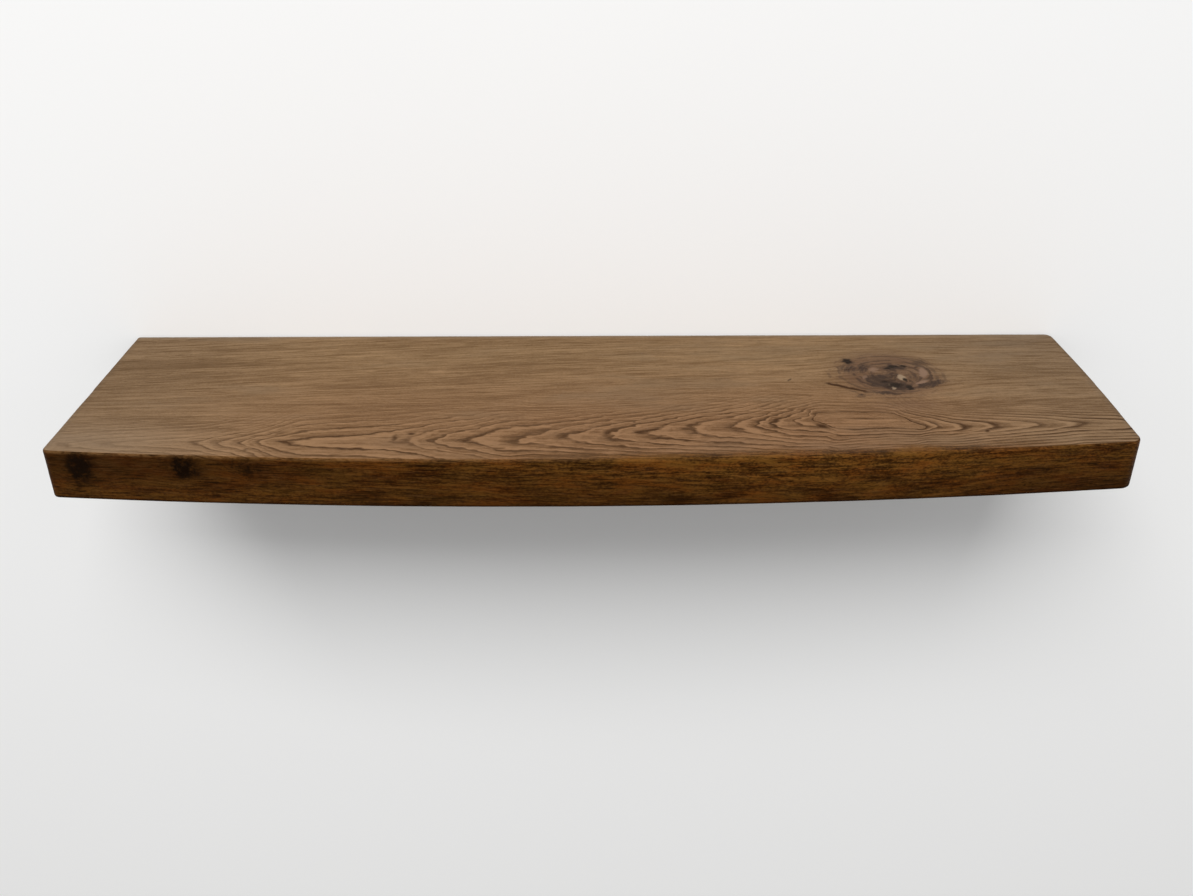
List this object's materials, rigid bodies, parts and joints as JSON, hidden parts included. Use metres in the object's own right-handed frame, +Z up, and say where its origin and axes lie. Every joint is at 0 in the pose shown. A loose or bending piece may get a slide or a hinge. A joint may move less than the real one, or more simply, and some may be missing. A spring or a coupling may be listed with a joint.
{
  "type": "floating wall shelf",
  "caption": "Thick dark-stained solid oak wall shelf with a bowed front that slides onto the rods of a concealed steel wall bar and is locked from beneath.",
  "frame": {"origin": "centre of the bar's back face, on the wall's plane", "axes": "+X along the shelf to the right as seen from the room, +Y into the wall, +Z up"},
  "size_m": [0.9006, 0.29, 0.045],
  "materials": {
    "stained_oak": "dark stained and waxed, satin",
    "bracket_coat": "black powder coat, satin",
    "zinc_steel": "bright zinc plated",
    "grey_nylon": "moulded nylon",
    "brass": "turned, unpolished",
    "black_oxide_steel": "black oxide, oiled"
  },
  "bodies": {
    "bracket": {"bracket_bar": "bracket_coat", "support_rod_left": "bracket_coat", "rod_weld_left": "bracket_coat", "support_rod_centre": "bracket_coat", "rod_weld_centre": "bracket_coat", "support_rod_right": "bracket_coat", "rod_weld_right": "bracket_coat", "wall_screw_1": "zinc_steel", "wall_plug_1": "grey_nylon", "wall_screw_2": "zinc_steel", "wall_plug_2": "grey_nylon", "wall_screw_3": "zinc_steel", "wall_plug_3": "grey_nylon", "wall_screw_4": "zinc_steel", "wall_plug_4": "grey_nylon", "wall_screw_5": "zinc_steel", "wall_plug_5": "grey_nylon", "wall_screw_6": "zinc_steel", "wall_plug_6": "grey_nylon"},
    "shelf": {"oak_board": "stained_oak", "lock_insert_left": "brass", "lock_insert_right": "brass"},
    "lock_left": {"lock_screw_left": "black_oxide_steel"},
    "lock_right": {"lock_screw_right": "black_oxide_steel"}
  },
  "joints": [
    {"name": "shelf_slide", "type": "slide", "parent": "bracket", "child": "shelf", "axis": [0, -1, 0], "range_m": [0, 0.16]},
    {"name": "lock_left_back_off", "type": "slide", "parent": "shelf", "child": "lock_left", "axis": [0, 0, -1], "range_m": [0, 0.004]},
    {"name": "lock_right_back_off", "type": "slide", "parent": "shelf", "child": "lock_right", "axis": [0, 0, -1], "range_m": [0, 0.004]}
  ]
}
